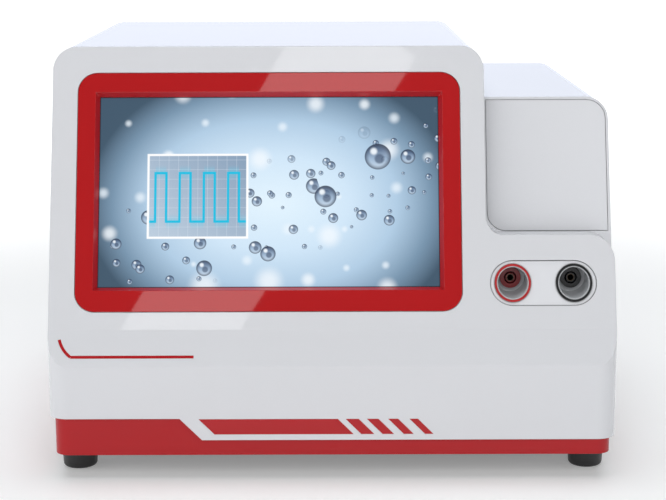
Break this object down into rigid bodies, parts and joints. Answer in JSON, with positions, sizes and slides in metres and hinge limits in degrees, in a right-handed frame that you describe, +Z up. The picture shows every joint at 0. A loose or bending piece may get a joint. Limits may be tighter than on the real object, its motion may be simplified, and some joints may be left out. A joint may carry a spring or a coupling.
{
  "type": "bench electroporator",
  "caption": "Pulse generator in a closed housing with a leaning touch screen in a red bezel, recessed safety sockets, a red base on rubber feet, and a fan, inlet and switch at the back.",
  "frame": {"origin": "on the bench under the middle of the housing's width and depth", "axes": "+X to the right seen from the front, +Y to the back, +Z up; the front faces -Y"},
  "size_m": [0.37, 0.34, 0.2764],
  "materials": {
    "housing": "smooth satin moulding, light grey",
    "tray_red": "satin red paint on sheet steel",
    "rear_panel": "light grey paint on sheet steel",
    "bezel_red": "glossy red",
    "touch_glass": "etched, low glare",
    "display": "lit panel",
    "steel": "zinc plated",
    "board": "green solder resist",
    "ribbon": "flat cable",
    "plate": "smooth light grey",
    "ring_red": "red",
    "plastic_black": "fine grain",
    "well_grey": "smooth grey",
    "socket_red": "dark red",
    "brass": "gold flash",
    "trim_red": "red film",
    "rubber": "moulded",
    "winding": "enamelled copper wire",
    "capacitor": "sleeved cans",
    "aluminium": "extruded",
    "ferrite": "sintered",
    "wire_red": "silicone",
    "wire_black": "silicone"
  },
  "bodies": {
    "chassis": {"front_shell": "housing", "rear_cover": "housing", "base_tray": "tray_red", "rear_panel": "rear_panel", "screen_bezel": "bezel_red", "touch_glass": "touch_glass", "display_panel": "display", "display_bracket": "steel", "bracket_screws": "steel", "control_board": "board", "control_spacers": "steel", "ribbon_cable": "ribbon", "notice_plate": "plate", "jack_plate": "plate", "socket_ring_red": "ring_red", "socket_ring_black": "plastic_black", "socket_wells": "well_grey", "socket_body_red": "socket_red", "socket_body_black": "plastic_black", "socket_contacts": "brass", "socket_nuts": "steel", "chin_stripes": "trim_red", "accent_line": "trim_red", "feet": "rubber", "foot_screws": "steel", "housing_screws": "steel", "panel_screws": "steel", "mains_inlet": "plastic_black", "inlet_blades": "steel", "inlet_screws": "steel", "switch_frame": "plastic_black", "fan_frame": "plastic_black", "fan_stator": "winding", "fan_guard": "steel", "fan_screws": "steel", "pulse_board": "board", "capacitor_bank": "capacitor", "board_spacers": "steel", "board_screws": "steel", "heat_sink": "aluminium", "switching_modules": "plastic_black", "discharge_resistor": "aluminium", "transformer_core": "ferrite", "transformer_winding": "winding", "supply_board": "board", "supply_parts": "capacitor", "output_lead_red": "wire_red", "output_lead_black": "wire_black", "mains_wires": "wire_black", "fan_wires": "wire_red"},
    "drawer": {"fuse_drawer": "plastic_black", "fuses": "steel"},
    "rocker": {"switch_rocker": "plastic_black"},
    "rotor": {"fan_rotor": "plastic_black"}
  },
  "joints": [
    {"name": "fuse_drawer_slide", "type": "slide", "parent": "chassis", "child": "drawer", "axis": [0, 1, 0], "range_m": [0, 0.02]},
    {"name": "power_rocker", "type": "hinge", "parent": "chassis", "child": "rocker", "pos_m": [0.075, 0.1615, 0.084], "axis": [1, 0, 0], "range_deg": [0, 20]},
    {"name": "fan_spin", "type": "hinge", "parent": "chassis", "child": "rotor", "pos_m": [-0.095, 0.15, 0.165], "axis": [0, 1, 0], "continuous": true}
  ]
}
